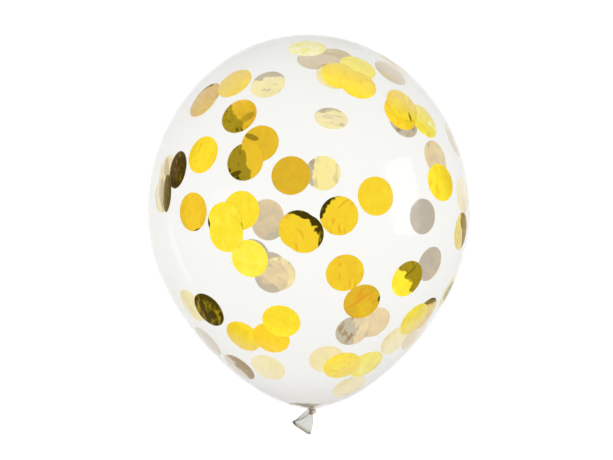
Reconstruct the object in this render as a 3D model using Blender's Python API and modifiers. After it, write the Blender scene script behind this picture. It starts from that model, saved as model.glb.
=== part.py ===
"""A tied latex party balloon, blown up and lying on its side.

The balloon is one moulded piece of latex: a round crown, a taper that gathers in
pleats, the knot, and the flared tail with its rolled rim. It is sealed, so the
body is modelled solid, and only the open mouth of the tail is hollow.

Metres, Z up. The origin is on the floor under the widest ring. The balloon lies
along Y, with its crown towards +Y and its tail towards -Y.
"""

import math

import bmesh
import bpy
from mathutils import Matrix, Vector

# The blown-up body
WIDTH = 0.280  # across the widest ring
CROWN_REACH = 0.155  # from the widest ring to the top of the crown
TAPER_REACH = 0.169  # from the widest ring to where the taper closes
TAPER_SLIMMING = 0.26  # share by which the taper's end is slimmer than an ellipse
FLAT_DEPTH = 0.0014  # how far the floor presses the side in

# The gather, where the taper turns into the neck
GATHER_RADIUS = 0.0100  # where the skin starts to run in to the neck
GATHER_DEPTH = 0.0026  # along the balloon, from there to the neck
NECK_RADIUS = 0.0024
NECK_TUCK = 0.0013  # how far the neck runs on inside the knot
PLEAT_COUNT = 9
PLEAT_HEIGHT = 0.0007  # how far a pleat rises and falls
PLEAT_REACH = 0.030  # distance from the axis at which the pleats have died out

# The knot: a lump of tied neck with two turns of it wound round
KNOT_WIDTH = 0.0074
KNOT_HEIGHT = 0.0052
KNOT_STRAND = 0.0025  # thickness of one turn
KNOT_TUCK = 0.0018  # how deep the knot sits in the gather
CORE_LEAN = math.radians(6)
TURN_TILT = math.radians(24)  # how far each turn leans
TURN_RISE = 0.0008  # how far each turn sits from the knot's middle
UPPER_TURN_SPIN = math.radians(8)  # which way round the upper turn leans
LOWER_TURN_SPIN = math.radians(43)  # and the lower one

# The tail, a flattened open tube that flares from the knot to its rim
TAIL_LENGTH = 0.0168  # from the middle of the knot to the middle of the rim
TAIL_LEAN = math.radians(35.5)  # how far it leans away from the balloon's axis
TAIL_LEFT = (0.0039, 0.0082)  # reach to the left of the tail's axis, at the knot and the rim
TAIL_RIGHT = (0.0003, 0.0094)  # the same to the right
TAIL_RIGHT_BULGE = 1.8  # how much sooner the right side swells: 1 is a straight flare
TAIL_THICKNESS = (0.0032, 0.0070)  # front to back, at the knot and the rim
TAIL_WALL = 0.0005
TAIL_BOW = 0.0012  # how far the flattened tube curls across its width
RIM_TILT = math.radians(12)  # how far the mouth turns towards the floor
FOLD_HEIGHT = 0.0012  # the fold that runs from the knot to the rim
FOLD_PLACE = (0.15, -0.50)  # at the knot and the rim, as a share of half the width
FOLD_SPREAD = (0.55, 0.14)  # its gentle left slope and steep right one, as such shares
BEAD_THICKNESS = 0.0024  # the rolled rim
MOUTH_START = 0.30  # where the tube's hollow begins, as a share of the tail's length

# How finely round shapes are divided
AROUND = 72
CROWN_RINGS = 16
TAPER_RINGS = 18
GATHER_RINGS = 6
TURN_STEPS = 28  # round one turn of the knot
STRAND_STEPS = 10  # round that turn's strand
TAIL_SIDES = 40
TAIL_RINGS = 9
BEAD_SIDES = 3  # a bevel resolution

LATEX_COLOUR = (0.90, 0.89, 0.85, 1.0)
LATEX_ROUGHNESS = 0.12

RADIUS = WIDTH / 2
AXIS_HEIGHT = RADIUS - FLAT_DEPTH  # the balloon's axis above the floor

# In the balloon's own frame Z runs up to the crown, X is the same as in the world,
# and -Y is the side that faces up.
LYING = Matrix.Translation((0, 0, AXIS_HEIGHT)) @ Matrix.Rotation(-math.pi / 2, 4, "X")


def clear_scene():
    for obj in list(bpy.data.objects):
        bpy.data.objects.remove(obj)


def new_collection(name):
    made = bpy.data.collections.new(name)
    bpy.context.scene.collection.children.link(made)
    return made


def new_object(name, mesh, collection):
    made = bpy.data.objects.new(name, mesh)
    collection.objects.link(made)
    return made


def mesh_from_bmesh(name, shape):
    bmesh.ops.recalc_face_normals(shape, faces=shape.faces)
    mesh = bpy.data.meshes.new(name)
    shape.to_mesh(mesh)
    shape.free()
    return mesh


def evaluated_mesh(obj):
    bpy.context.view_layer.update()
    graph = bpy.context.evaluated_depsgraph_get()
    return bpy.data.meshes.new_from_object(obj.evaluated_get(graph))


def latex_material():
    made = bpy.data.materials.new("latex")
    made.use_nodes = True
    shader = made.node_tree.nodes["Principled BSDF"]
    shader.inputs["Base Color"].default_value = LATEX_COLOUR
    shader.inputs["Roughness"].default_value = LATEX_ROUGHNESS
    shader.inputs["Metallic"].default_value = 0.0
    return made


def crown_profile():
    """(radius, height) down the crown, from its top to the widest ring: half an ellipse."""
    quarter = math.pi / 2
    for ring in range(CROWN_RINGS + 1):
        angle = quarter * ring / CROWN_RINGS
        yield RADIUS * math.sin(angle), CROWN_REACH * math.cos(angle)


def taper_point(angle):
    """A point of the taper: an ellipse that is slimmed more and more towards the neck."""
    slimming = 1 - TAPER_SLIMMING * math.sin(angle) ** 2
    return RADIUS * math.cos(angle) * slimming, -TAPER_REACH * math.sin(angle)


def gather_angle():
    """The angle at which the taper has come in to the gather's radius."""
    end_radius = RADIUS * (1 - TAPER_SLIMMING)
    return math.acos(GATHER_RADIUS / end_radius)


def taper_profile():
    for ring in range(1, TAPER_RINGS + 1):
        yield taper_point(gather_angle() * ring / TAPER_RINGS)


def gather_profile():
    """(radius, height) from the end of the taper in to the neck, with no kink where it starts."""
    start_radius, start_height = taper_point(gather_angle())
    just_before = taper_point(gather_angle() - 0.001)
    slope = (just_before[0] - start_radius) / (just_before[1] - start_height)
    curl = slope * GATHER_DEPTH / (start_radius - NECK_RADIUS)
    for ring in range(1, GATHER_RINGS + 1):
        share = ring / GATHER_RINGS
        radius = NECK_RADIUS + (start_radius - NECK_RADIUS) * (1 - share) ** curl
        yield radius, start_height - GATHER_DEPTH * share


def neck_height():
    """The height at which the neck goes into the knot."""
    return taper_point(gather_angle())[1] - GATHER_DEPTH


def knot_height():
    return neck_height() - KNOT_HEIGHT / 2 + KNOT_TUCK


def pleat_rise(radius, around):
    """How far a pleat lifts the skin towards the tail at this distance from the axis."""
    if radius >= PLEAT_REACH:
        return 0.0
    fading = (1 - radius / PLEAT_REACH) ** 2
    at_neck = min(1.0, radius / GATHER_RADIUS)
    return PLEAT_HEIGHT * fading * at_neck * math.cos(PLEAT_COUNT * around)


def body_mesh(cutters):
    """The blown-up skin, turned round its axis, with the pleats pressed into the gather."""
    profile = [*crown_profile(), *taper_profile(), *gather_profile()]
    neck_end = neck_height() - NECK_TUCK
    profile += [(NECK_RADIUS, neck_end), (0.0, neck_end)]
    points = [(radius, 0.0, height) for radius, height in profile]
    outline = bpy.data.meshes.new("skin_profile")
    outline.from_pydata(points, [(i, i + 1) for i in range(len(points) - 1)], [])
    turned = new_object("skin_profile", outline, cutters)
    screw = turned.modifiers.new("turn", "SCREW")
    screw.axis = "Z"
    screw.steps = AROUND
    screw.render_steps = AROUND
    screw.use_merge_vertices = True
    screw.merge_threshold = 0.00001
    mesh = evaluated_mesh(turned)
    bpy.data.objects.remove(turned)
    for vertex in mesh.vertices:
        radius = math.hypot(vertex.co.x, vertex.co.y)
        if vertex.co.z < 0 and vertex.co.z > neck_end:
            vertex.co.z -= pleat_rise(radius, math.atan2(vertex.co.y, vertex.co.x))
    return mesh


def knot_core():
    """The lump in the middle of the knot."""
    shape = bmesh.new()
    bmesh.ops.create_uvsphere(shape, u_segments=24, v_segments=14, radius=0.5)
    inner_width = KNOT_WIDTH - KNOT_STRAND / 2
    bmesh.ops.scale(shape, vec=(inner_width, inner_width, KNOT_HEIGHT), verts=shape.verts)
    place = Matrix.Translation((0, 0, knot_height()))
    leaning = Matrix.Rotation(UPPER_TURN_SPIN, 4, "Z") @ Matrix.Rotation(CORE_LEAN, 4, "Y")
    bmesh.ops.transform(shape, matrix=place @ leaning, verts=shape.verts)
    return mesh_from_bmesh("knot_core", shape)


def knot_turn(name, lean, turned, rise):
    """One turn of the neck wound round the knot: a ring that leans."""
    bpy.ops.mesh.primitive_torus_add(
        major_radius=(KNOT_WIDTH - KNOT_STRAND) / 2,
        minor_radius=KNOT_STRAND / 2,
        major_segments=TURN_STEPS,
        minor_segments=STRAND_STEPS,
    )
    ring = bpy.context.object
    mesh = ring.data
    mesh.name = name
    bpy.data.objects.remove(ring)
    raised = Matrix.Translation((0, 0, knot_height() + rise))
    mesh.transform(raised @ Matrix.Rotation(turned, 4, "Z") @ Matrix.Rotation(lean, 4, "Y"))
    return mesh


def tail_frame():
    """Carries the tail's own frame to the balloon's. The tail runs down its own -Z."""
    return Matrix.Translation((0, 0, knot_height())) @ Matrix.Rotation(TAIL_LEAN, 4, "Y")


def flat_ring(width, thickness, share):
    """A point round a flattened tube: two straight sides joined by half circles."""
    end_radius = thickness / 2
    straight = max(0.0, width - thickness)
    half_circle = math.pi * end_radius
    along = share * 2 * (straight + half_circle)
    if along < straight:
        return straight / 2 - along, end_radius
    along -= straight
    if along < half_circle:
        angle = math.pi / 2 + along / end_radius
        return -straight / 2 + end_radius * math.cos(angle), end_radius * math.sin(angle)
    along -= half_circle
    if along < straight:
        return -straight / 2 + along, -end_radius
    angle = -math.pi / 2 + (along - straight) / end_radius
    return straight / 2 + end_radius * math.cos(angle), end_radius * math.sin(angle)


def between(ends, share):
    """The value at this share of the way from the first end to the second."""
    return ends[0] + (ends[1] - ends[0]) * share


def fold_rise(across, down):
    """How far the tail's fold stands up at this share of half the width."""
    place = between(FOLD_PLACE, math.sqrt(down))
    left_spread, right_spread = FOLD_SPREAD
    spread = left_spread if across < place else right_spread
    return FOLD_HEIGHT * down * math.exp(-(((across - place) / spread) ** 2))


def tail_point(down, share, inset):
    """A point of the tail at this share of its length, round its flattened section.

    The tube curls across its width, carries one fold and turns its mouth down, all of
    them growing towards the rim.
    """
    left = between(TAIL_LEFT, down)
    right = between(TAIL_RIGHT, 1 - (1 - min(down, 1)) ** TAIL_RIGHT_BULGE)
    width = left + right
    thickness = between(TAIL_THICKNESS, down)
    x, y = flat_ring(width - 2 * inset, thickness - 2 * inset, share)
    across = x / (width / 2)
    bow = TAIL_BOW * down * across**2
    turned_down = y * math.tan(RIM_TILT) * down
    return Vector((
        x + (right - left) / 2,
        y + bow - fold_rise(across, down),
        turned_down - TAIL_LENGTH * down,
    ))


def tail_loft(name, start, end, inset):
    """The tail's tube as a closed solid between two shares of its length."""
    points = []
    for ring in range(TAIL_RINGS + 1):
        down = start + (end - start) * ring / TAIL_RINGS
        for side in range(TAIL_SIDES):
            points.append(tail_frame() @ tail_point(down, side / TAIL_SIDES, inset))
    shape = bmesh.new()
    corners = [shape.verts.new(point) for point in points]
    for ring in range(TAIL_RINGS):
        for side in range(TAIL_SIDES):
            next_side = (side + 1) % TAIL_SIDES
            shape.faces.new((
                corners[ring * TAIL_SIDES + side],
                corners[ring * TAIL_SIDES + next_side],
                corners[(ring + 1) * TAIL_SIDES + next_side],
                corners[(ring + 1) * TAIL_SIDES + side],
            ))
    shape.faces.new(corners[:TAIL_SIDES])
    shape.faces.new(corners[-TAIL_SIDES:])
    bmesh.ops.triangulate(shape, faces=[f for f in shape.faces if len(f.verts) > 4])
    return mesh_from_bmesh(name, shape)


def rim_bead(cutters):
    """The rolled rim: a round bead that follows the tail's last section."""
    curve = bpy.data.curves.new("rim_bead", "CURVE")
    curve.dimensions = "3D"
    curve.bevel_depth = BEAD_THICKNESS / 2
    curve.bevel_resolution = BEAD_SIDES
    spline = curve.splines.new("POLY")
    spline.points.add(TAIL_SIDES - 1)
    for side, point in enumerate(spline.points):
        place = tail_frame() @ tail_point(1.0, side / TAIL_SIDES, TAIL_WALL / 2)
        point.co = (*place, 1.0)
    spline.use_cyclic_u = True
    guide = new_object("rim_bead", curve, cutters)
    mesh = evaluated_mesh(guide)
    bpy.data.objects.remove(guide)
    shape = bmesh.new()
    shape.from_mesh(mesh)
    bmesh.ops.remove_doubles(shape, verts=shape.verts, dist=0.000001)
    return mesh_from_bmesh("rim_bead", shape)


def floor_block():
    """A block whose top is the floor, which presses the balloon's side flat."""
    shape = bmesh.new()
    bmesh.ops.create_cube(shape, size=1.0)
    bmesh.ops.scale(shape, vec=(WIDTH, WIDTH, RADIUS), verts=shape.verts)
    bmesh.ops.translate(shape, vec=(0, 0, -RADIUS / 2), verts=shape.verts)
    bmesh.ops.transform(shape, matrix=LYING.inverted(), verts=shape.verts)
    return mesh_from_bmesh("floor_block", shape)


def combine(obj, mesh, operation, cutters):
    """Adds a piece to the balloon, or cuts it away, with a Boolean."""
    other = new_object(mesh.name, mesh, cutters)
    other.matrix_world = LYING
    other.hide_render = True
    other.display_type = "WIRE"
    joined = obj.modifiers.new(f"{operation.lower()} {mesh.name}", "BOOLEAN")
    joined.operation = operation
    joined.solver = "EXACT"
    joined.object = other


def latex_balloon(parts, cutters):
    balloon = new_object("latex_balloon", body_mesh(cutters), parts)
    balloon.matrix_world = LYING
    balloon.data.materials.append(latex_material())
    upper_turn = knot_turn("upper_turn", TURN_TILT, UPPER_TURN_SPIN, TURN_RISE)
    lower_turn = knot_turn("lower_turn", -TURN_TILT, LOWER_TURN_SPIN, -TURN_RISE)
    combine(balloon, knot_core(), "UNION", cutters)
    combine(balloon, upper_turn, "UNION", cutters)
    combine(balloon, lower_turn, "UNION", cutters)
    combine(balloon, tail_loft("tail_tube", 0.0, 1.0, 0.0), "UNION", cutters)
    combine(balloon, rim_bead(cutters), "UNION", cutters)
    past_rim = 1 + BEAD_THICKNESS / TAIL_LENGTH
    mouth = tail_loft("tail_mouth", MOUTH_START, past_rim, TAIL_WALL)
    combine(balloon, mouth, "DIFFERENCE", cutters)
    combine(balloon, floor_block(), "DIFFERENCE", cutters)
    return balloon


def main():
    clear_scene()
    parts = new_collection("confetti_balloon")
    cutters = new_collection("cutters")
    latex_balloon(parts, cutters)


main()
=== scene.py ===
# %% [markdown]
# A confetti balloon is a clear latex party balloon with round foil discs sealed inside it.
# It is blown up and tied, and rubbing the skin charges it, so the discs cling to its inside.
# A loose one lies on its side, so this one lies on a pale floor with its knot towards -Y,
# and the camera looks straight down on it.
# The CAD model gives the form as one solid. This lesson dresses it: a thin clear skin, the
# tied neck, the flared tail and the confetti, each with a finish of its own.

import math
import random
from collections import namedtuple

import bmesh
import bpy
from mathutils import Matrix, Vector, noise


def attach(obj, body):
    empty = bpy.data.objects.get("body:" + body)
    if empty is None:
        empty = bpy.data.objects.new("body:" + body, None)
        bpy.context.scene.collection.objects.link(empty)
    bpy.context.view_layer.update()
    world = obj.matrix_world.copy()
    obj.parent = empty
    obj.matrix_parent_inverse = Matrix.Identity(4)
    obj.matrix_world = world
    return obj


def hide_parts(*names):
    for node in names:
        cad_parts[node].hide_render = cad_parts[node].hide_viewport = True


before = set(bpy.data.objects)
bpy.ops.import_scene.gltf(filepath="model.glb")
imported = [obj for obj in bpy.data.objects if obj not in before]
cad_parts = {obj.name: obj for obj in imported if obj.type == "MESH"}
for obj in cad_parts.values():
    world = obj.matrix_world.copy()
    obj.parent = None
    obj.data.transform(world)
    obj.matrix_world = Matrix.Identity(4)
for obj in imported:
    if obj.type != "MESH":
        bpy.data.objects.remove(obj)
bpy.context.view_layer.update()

# %% [markdown]
# The photograph was taken from some metres away with a long lens, so its perspective is weak.
# A near disc measures about a tenth more than a far one, and that sets the camera's height.
# The camera comes first because the confetti is placed through it: each disc is known by its
# pixel, and the line from the camera through that pixel meets the skin where the disc lies.

# %% Camera
PHOTO_WIDTH = 613
PHOTO_HEIGHT = 460
SENSOR_WIDTH = 36.0
LENS = 159.2
AXIS_HEIGHT = 0.1386  # the balloon's long axis above the floor
CAMERA_DROP = 2.35  # from the camera down to that axis
CAMERA_PLACE = Vector((-0.0022, -0.0147, AXIS_HEIGHT + CAMERA_DROP))
CAMERA_ROLL = math.radians(-1.0)


def add_object(name, data):
    made = bpy.data.objects.new(name, data)
    bpy.context.scene.collection.objects.link(made)
    return made


def add_camera():
    data = bpy.data.cameras.new("camera")
    data.lens = LENS
    data.sensor_width = SENSOR_WIDTH
    data.clip_start = 0.05
    data.clip_end = 50
    camera = add_object("camera", data)
    camera.location = CAMERA_PLACE
    camera.rotation_euler = (0, 0, CAMERA_ROLL)
    bpy.context.scene.camera = camera
    return camera


def sight_line(column, row):
    """The direction from the camera through a pixel of the photograph."""
    right = (column - PHOTO_WIDTH / 2) * SENSOR_WIDTH / PHOTO_WIDTH
    up = (PHOTO_HEIGHT / 2 - row) * SENSOR_WIDTH / PHOTO_WIDTH
    return Matrix.Rotation(CAMERA_ROLL, 3, "Z") @ Vector((right, up, -LENS)).normalized()


camera = add_camera()
bpy.context.scene.view_settings.view_transform = "Standard"
print("camera at", [round(value, 3) for value in camera.location])

# %% [markdown]
# A latex balloon is dipped on a former, so its skin is a surface turned about one axis.
# The crown is half an ellipse. The taper is a longer ellipse, slimmed towards the neck, and
# the gather is where the slack skin runs in to the knot. These are the CAD model's own curves
# and sizes, written again here so that the fine mesh lies on the solid.

# %% Profile of the skin
RADIUS = 0.140
CROWN_REACH = 0.155  # from the widest ring to the top of the crown
TAPER_REACH = 0.169  # from the widest ring to where the taper closes
TAPER_SLIMMING = 0.26
GATHER_RADIUS = 0.0100
GATHER_DEPTH = 0.0026
NECK_RADIUS = 0.0024
NECK_TUCK = 0.0013  # how far the neck runs on inside the knot
CROWN_RINGS = 46
TAPER_RINGS = 62
GATHER_RINGS = 14
SLOPE_STEP = 0.001  # in radians, to measure how the taper slopes at its end


def skin_radius(height):
    """The skin's radius at this height on its axis, for the crown and the taper."""
    if height >= 0:
        share = min(1.0, height / CROWN_REACH)
        return RADIUS * math.sqrt(1 - share**2)
    share = min(1.0, -height / TAPER_REACH)
    return RADIUS * math.sqrt(1 - share**2) * (1 - TAPER_SLIMMING * share**2)


def taper_point(angle):
    height = -TAPER_REACH * math.sin(angle)
    return skin_radius(height), height


def gather_points(start_angle):
    """(radius, height) from the end of the taper in to the neck, with no kink between them."""
    start_radius, start_height = taper_point(start_angle)
    before_radius, before_height = taper_point(start_angle - SLOPE_STEP)
    slope = (before_radius - start_radius) / (before_height - start_height)
    curl = slope * GATHER_DEPTH / (start_radius - NECK_RADIUS)
    for ring in range(1, GATHER_RINGS + 1):
        share = ring / GATHER_RINGS
        radius = NECK_RADIUS + (start_radius - NECK_RADIUS) * (1 - share) ** curl
        yield radius, start_height - GATHER_DEPTH * share


def skin_profile():
    """(radius, height) down the outside of the skin, from the crown's top to the neck."""
    points = []
    for ring in range(CROWN_RINGS + 1):
        height = CROWN_REACH * math.cos(math.pi / 2 * ring / CROWN_RINGS)
        points.append((skin_radius(height), height))
    last_angle = math.acos(GATHER_RADIUS / (RADIUS * (1 - TAPER_SLIMMING)))
    for ring in range(1, TAPER_RINGS + 1):
        points.append(taper_point(last_angle * ring / TAPER_RINGS))
    points.extend(gather_points(last_angle))
    return points


profile = skin_profile()
neck_height = profile[-1][1]
print("skin rings", len(profile), "neck at", round(neck_height * 1000, 2), "mm")

# %% [markdown]
# A blown-up skin is a film well under a tenth of a millimetre thick. A single sheet of faces
# would bend light like the surface of a solid glass ball, so the film gets both its walls: the
# profile runs down the outside, crosses the cut edge hidden in the knot and comes back up the
# inside. The walls stand further apart than in the real film, to stay clear of each other.
# Where the latex is stretched least, at the neck, it is thicker and shows its own colour, so
# each corner keeps two numbers for that, which the material reads.

# %% Helpers for meshes
AROUND = 144


def lying(point):
    """Carries a point from the balloon's own frame, where Z runs to the crown, to the floor."""
    return Vector((point[0], point[2], AXIS_HEIGHT - point[1]))


def add_piece(name, corners, faces):
    mesh = bpy.data.meshes.new(name)
    mesh.from_pydata(corners, [], faces)
    shape = bmesh.new()
    shape.from_mesh(mesh)
    bmesh.ops.recalc_face_normals(shape, faces=shape.faces)
    many_sided = [face for face in shape.faces if len(face.verts) > 4]
    bmesh.ops.triangulate(shape, faces=many_sided)
    shape.to_mesh(mesh)
    shape.free()
    mesh.shade_smooth()
    return add_object(name, mesh)


def ring_faces(start, rings, around):
    """Faces between rings of corners that follow each other, the first from this corner on."""
    faces = []
    for ring in range(rings - 1):
        here = start + ring * around
        below = here + around
        for side in range(around):
            beside = (side + 1) % around
            faces.append((here + side, below + side, below + beside, here + beside))
    return faces


def turned(points, around):
    """Corners and faces of a profile turned about the axis. It starts and ends on the axis."""
    corners = [(0.0, 0.0, points[0][1])]
    for radius, height in points[1:-1]:
        for step in range(around):
            angle = 2 * math.pi * step / around
            corners.append((radius * math.cos(angle), radius * math.sin(angle), height))
    corners.append((0.0, 0.0, points[-1][1]))
    faces = ring_faces(1, len(points) - 2, around)
    last = len(corners) - 1
    for step in range(around):
        beside = (step + 1) % around
        faces.append((0, 1 + step, 1 + beside))
        faces.append((last, last - around + beside, last - around + step))
    return corners, faces


def save_numbers(piece, name, numbers):
    """Keeps one number for each corner of the mesh, for the material to read."""
    kept = piece.data.attributes.new(name, "FLOAT", "POINT")
    kept.data.foreach_set("value", numbers)


def save_places(piece, name, places):
    """Keeps a place of three numbers for each corner."""
    kept = piece.data.attributes.new(name, "FLOAT_VECTOR", "POINT")
    kept.data.foreach_set("vector", [number for place in places for number in place])


# %% The clear skin
FILM = 0.00026  # where the skin is stretched most, at its widest ring
END_FILM = 0.00026  # how much thicker it is at the crown's top and where the taper closes
NECK_FILM = 0.0006
FILM_GROWTH = 0.010  # distance from the neck over which the film thins out
PLEAT_COUNT = 9
PLEAT_HEIGHT = 0.0007
PLEAT_REACH = 0.030
FINE_PLEATS = 31
FINE_PLEAT_HEIGHT = 0.00016
FLOOR_EASE = 0.0001  # rounds the edge of the spot that the floor presses flat


def film_at(height):
    share = height / (CROWN_REACH if height > 0 else TAPER_REACH)
    gathered = NECK_FILM * math.exp((neck_height - height) / FILM_GROWTH)
    return FILM + END_FILM * share**2 + gathered


def inner_wall(points):
    """The same profile, a film's thickness further in."""
    inside = []
    for index, (radius, height) in enumerate(points):
        before = points[max(0, index - 1)]
        after = points[min(len(points) - 1, index + 1)]
        along = Vector((after[0] - before[0], after[1] - before[1])).normalized()
        film = film_at(height)
        inside.append((max(0.0, radius + along.y * film), height - along.x * film))
    inside[0] = (0.0, points[0][1] - film_at(points[0][1]))
    return inside


def pleat_rise(x, y):
    """How far the gathered pleats lift the skin towards the tail."""
    radius = math.hypot(x, y)
    if radius >= PLEAT_REACH:
        return 0.0
    angle = math.atan2(y, x)
    fading = (1 - radius / PLEAT_REACH) ** 2 * min(1.0, radius / GATHER_RADIUS)
    fine = FINE_PLEAT_HEIGHT * math.cos(FINE_PLEATS * angle + 2 * math.cos(3 * angle))
    return fading * (PLEAT_HEIGHT * math.cos(PLEAT_COUNT * angle) + fine)


def pressed(height, lowest):
    """A height above the floor, eased so that nothing sinks below the lowest allowed."""
    above = height - lowest
    return lowest + (above + math.sqrt(above**2 + 4 * FLOOR_EASE**2)) / 2


def add_skin():
    tucked = [*profile, (NECK_RADIUS, neck_height - NECK_TUCK)]
    inside = inner_wall(tucked)
    corners, faces = turned(tucked + inside[::-1], AROUND)
    outer_count = 1 + (len(tucked) - 1) * AROUND
    placed = []
    films = []
    slack = []
    for index, (x, y, z) in enumerate(corners):
        if neck_height <= z < 0:
            z -= pleat_rise(x, y)
        place = lying((x, y, z))
        place.z = pressed(place.z, 0.0 if index < outer_count else FILM)
        placed.append(place)
        films.append(film_at(z) / FILM)
        slack.append(min(1.0, math.exp((neck_height - z) / FILM_GROWTH)))
    piece = add_piece("clear_skin", placed, faces)
    save_numbers(piece, "film", films)
    save_numbers(piece, "slack", slack)
    return piece


skin = add_skin()
print("skin faces", len(skin.data.polygons))

# %% [markdown]
# The knot is the neck itself, wound once round and pulled through. It shows as a lump with two
# leaning turns. Here each turn is a tube swept round a tilted ring, and a voxel remesh melts
# the turns and the lump into one surface with soft creases, as soft latex closes up in a knot.

# %% Helpers for tubes
KNOT_WIDTH = 0.0074
KNOT_HEIGHT = 0.0052
KNOT_STRAND = 0.0025
KNOT_TUCK = 0.0018
KNOT_PLACE = Vector((0, 0, neck_height - KNOT_HEIGHT / 2 + KNOT_TUCK))


def tube(path, thickness_at, sides):
    """Corners and faces of a tube swept along a closed path of points."""
    count = len(path)
    corners = []
    normal = None
    for index, place in enumerate(path):
        along = (path[(index + 1) % count] - path[index - 1]).normalized()
        if normal is None:
            normal = along.orthogonal().normalized()
        normal = (normal - along * normal.dot(along)).normalized()
        other = along.cross(normal)
        for side in range(sides):
            angle = 2 * math.pi * side / sides
            reach = thickness_at(index / count, angle) / 2
            corners.append(place + (normal * math.cos(angle) + other * math.sin(angle)) * reach)
    faces = ring_faces(0, count, sides)
    last = len(corners) - sides
    shift = closing_shift(corners, path, sides)
    for side in range(sides):
        below = (side + shift) % sides
        below_beside = (side + 1 + shift) % sides
        faces.append((last + side, below, below_beside, last + (side + 1) % sides))
    return corners, faces


def closing_shift(corners, path, sides):
    """How many sides the last section has turned from the first, where the tube closes."""
    last_corner = corners[-sides] - path[-1]
    turns = [(corners[side] - path[0]).angle(last_corner) for side in range(sides)]
    return turns.index(min(turns))


# %% The knot
TURN_TILT = math.radians(24)
TURN_RISE = 0.0008
UPPER_TURN_SPIN = math.radians(8)
LOWER_TURN_SPIN = math.radians(43)
CORE_LEAN = math.radians(6)
TURN_STEPS = 64
TURN_SIDES = 20
KNOT_VOXEL = 0.00013
KNOT_CREASES = 17
CREASE_SLANT = 2400  # how fast a crease winds round along the knot, in radians a metre
CREASE_DEPTH = 0.00012


def knot_turn(lean, spin, rise):
    place = Matrix.Translation(KNOT_PLACE + Vector((0, 0, rise)))
    leaning = Matrix.Rotation(spin, 4, "Z") @ Matrix.Rotation(lean, 4, "Y")
    ring = (KNOT_WIDTH - KNOT_STRAND) / 2
    path = []
    for step in range(TURN_STEPS):
        angle = 2 * math.pi * step / TURN_STEPS
        path.append(place @ leaning @ Vector((ring * math.cos(angle), ring * math.sin(angle), 0)))
    return tube(path, lambda share, angle: KNOT_STRAND, TURN_SIDES)


def knot_core():
    shape = bmesh.new()
    bmesh.ops.create_uvsphere(shape, u_segments=32, v_segments=20, radius=0.5)
    inner_width = KNOT_WIDTH - KNOT_STRAND / 2
    size = Matrix.Diagonal((inner_width, inner_width, KNOT_HEIGHT, 1))
    leaning = Matrix.Rotation(UPPER_TURN_SPIN, 4, "Z") @ Matrix.Rotation(CORE_LEAN, 4, "Y")
    bmesh.ops.transform(
        shape, matrix=Matrix.Translation(KNOT_PLACE) @ leaning @ size, verts=shape.verts
    )
    corners = [corner.co.copy() for corner in shape.verts]
    faces = [tuple(corner.index for corner in face.verts) for face in shape.faces]
    shape.free()
    return corners, faces


def joined(parts):
    """The corners and faces of several forms as one."""
    corners = []
    faces = []
    for part_corners, part_faces in parts:
        start = len(corners)
        corners.extend(part_corners)
        faces.extend(tuple(start + index for index in face) for face in part_faces)
    return corners, faces


def melt(piece, voxel):
    """Remeshes overlapping closed forms into one skin, and smooths the steps away."""
    remesh = piece.modifiers.new("melt", "REMESH")
    remesh.mode = "VOXEL"
    remesh.voxel_size = voxel
    smooth = piece.modifiers.new("ease", "SMOOTH")
    smooth.factor = 0.5
    smooth.iterations = 4
    bpy.context.view_layer.update()
    graph = bpy.context.evaluated_depsgraph_get()
    mesh = bpy.data.meshes.new_from_object(piece.evaluated_get(graph))
    piece.modifiers.clear()
    piece.data = mesh
    mesh.shade_smooth()


def add_knot():
    upper = knot_turn(TURN_TILT, UPPER_TURN_SPIN, TURN_RISE)
    lower = knot_turn(-TURN_TILT, LOWER_TURN_SPIN, -TURN_RISE)
    corners, faces = joined([knot_core(), upper, lower])
    piece = add_piece("tied_knot", [lying(corner) for corner in corners], faces)
    melt(piece, KNOT_VOXEL)
    middle = lying(KNOT_PLACE)
    for corner in piece.data.vertices:
        outward = corner.co - middle
        angle = math.atan2(outward.z, outward.x)
        wave = math.sin(KNOT_CREASES * angle + CREASE_SLANT * outward.y)
        corner.co -= outward.normalized() * (CREASE_DEPTH * (1 + wave) / 2)
    return piece


knot = add_knot()
print("knot faces", len(knot.data.polygons))

# %% [markdown]
# Below the knot the neck opens again into a short flared tail. Nothing stretches the latex
# there, so it is thicker and milky. It lies nearly flat with one fold running down it, and it
# ends in the rolled rim that makes a balloon easy to stretch over a pump.
# The tail is a flattened tube with a hollow mouth, built ring by ring on the CAD model's own
# form, with small creases that start in the knot and fade towards the rim.

# %% The flared tail
TAIL_LENGTH = 0.0168
TAIL_LEAN = math.radians(35.5)
TAIL_LEFT = (0.0039, 0.0082)
TAIL_RIGHT = (0.0003, 0.0094)
TAIL_RIGHT_BULGE = 1.8
TAIL_THICKNESS = (0.0032, 0.0070)
TAIL_WALL = 0.0005
TAIL_BOW = 0.0012
RIM_TILT = math.radians(12)
FOLD_HEIGHT = 0.0012
FOLD_PLACE = (0.15, -0.50)
FOLD_SPREAD = (0.55, 0.14)
TAIL_SIDES = 160
TAIL_RINGS = 44
HOLLOW_START = 0.16  # where the tube's hollow begins, as a share of the tail's length
TAIL_CREASES = 13  # waves across half its width
TAIL_CREASE_DEPTH = 0.00011

TAIL_FRAME = Matrix.Translation(KNOT_PLACE) @ Matrix.Rotation(TAIL_LEAN, 4, "Y")


def between(ends, share):
    return ends[0] + (ends[1] - ends[0]) * share


def flat_ring(width, thickness, share):
    """A point round a flattened tube: two straight sides joined by half circles."""
    radius = thickness / 2
    straight = max(0.0, width - thickness)
    face = 1 if share < 0.5 else -1
    along = share % 0.5 * 2 * (straight + math.pi * radius)
    if along < straight:
        return face * (straight / 2 - along), face * radius
    angle = math.pi / 2 + (along - straight) / radius
    return face * (radius * math.cos(angle) - straight / 2), face * radius * math.sin(angle)


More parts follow.
